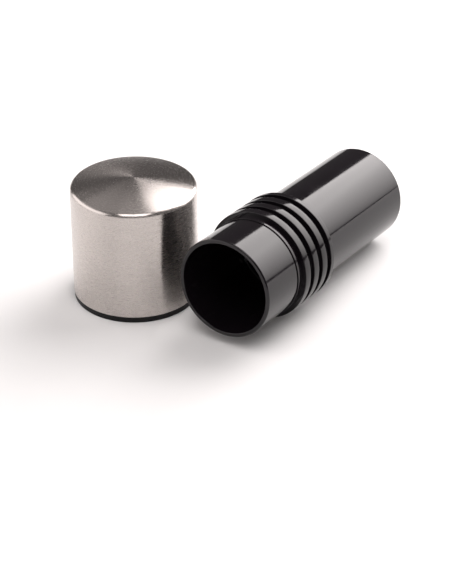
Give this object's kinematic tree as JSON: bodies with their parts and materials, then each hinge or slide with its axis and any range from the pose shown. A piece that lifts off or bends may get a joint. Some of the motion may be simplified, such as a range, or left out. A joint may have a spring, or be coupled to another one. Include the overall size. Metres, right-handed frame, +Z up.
{
  "type": "spice mill",
  "caption": "Twist spice mill lying on its side, with a ribbed black grip and an open storage tube, and its brushed steel cap standing beside it.",
  "frame": {"origin": "on the floor, under the middle of the mill and cap together", "axes": "+X along the mill from its mouth to its far end, +Z up, +Y from the mill towards the cap"},
  "size_m": [0.133, 0.1124, 0.0588],
  "materials": {
    "gloss_black": "polished black moulding",
    "grip_black": "polished black moulding",
    "inner_plastic": "satin dark grey moulding",
    "bearing_plastic": "natural bearing plastic",
    "screw_steel": "plain stainless",
    "spring_steel": "drawn stainless wire and strip",
    "blade_steel": "etched stainless sheet",
    "black_rubber": "matt",
    "brushed_steel": "fine brushing round the side, spun rings on the top",
    "liner_black": "satin black moulding"
  },
  "bodies": {
    "mill_front": {"storage_body": "gloss_black", "grip_sleeve": "grip_black", "drive_sleeve": "inner_plastic", "sleeve_screws": "screw_steel", "thrust_washer": "bearing_plastic", "collar_clip": "spring_steel", "spring_seat": "inner_plastic", "pressure_spring": "spring_steel"},
    "bearing": {"bearing_collar": "bearing_plastic", "friction_ring": "black_rubber"},
    "mill_rear": {"rear_tube": "gloss_black", "blade_gasket": "black_rubber", "blade_disc": "blade_steel", "blade_ring": "inner_plastic", "blade_screws": "screw_steel"},
    "presser_unit": {"presser": "inner_plastic", "prong_plate": "blade_steel", "presser_screw": "screw_steel"},
    "cap": {"cap_shell": "brushed_steel", "cap_liner": "liner_black", "cap_pad": "black_rubber", "cap_cord_ring": "black_rubber"}
  },
  "joints": [
    {"name": "mill_turn", "type": "hinge", "parent": "mill_front", "child": "bearing", "pos_m": [0.00263, -0.03075, 0.02518], "axis": [0.9987, 0, -0.05], "continuous": true},
    {"name": "rear_pull", "type": "slide", "parent": "bearing", "child": "mill_rear", "axis": [0.9987, 0, -0.05], "range_m": [0, 0.06]},
    {"name": "presser_slide", "type": "slide", "parent": "mill_front", "child": "presser_unit", "axis": [0.9987, 0, -0.05], "range_m": [-0.03, 0], "stiffness_N_per_m": 100, "springref_m": 0.015, "deforming": ["pressure_spring"]},
    {"name": "cap_lift", "type": "slide", "parent": "mill_front", "child": "cap", "axis": [0, 0, 1], "range_m": [0, 0.09]}
  ]
}
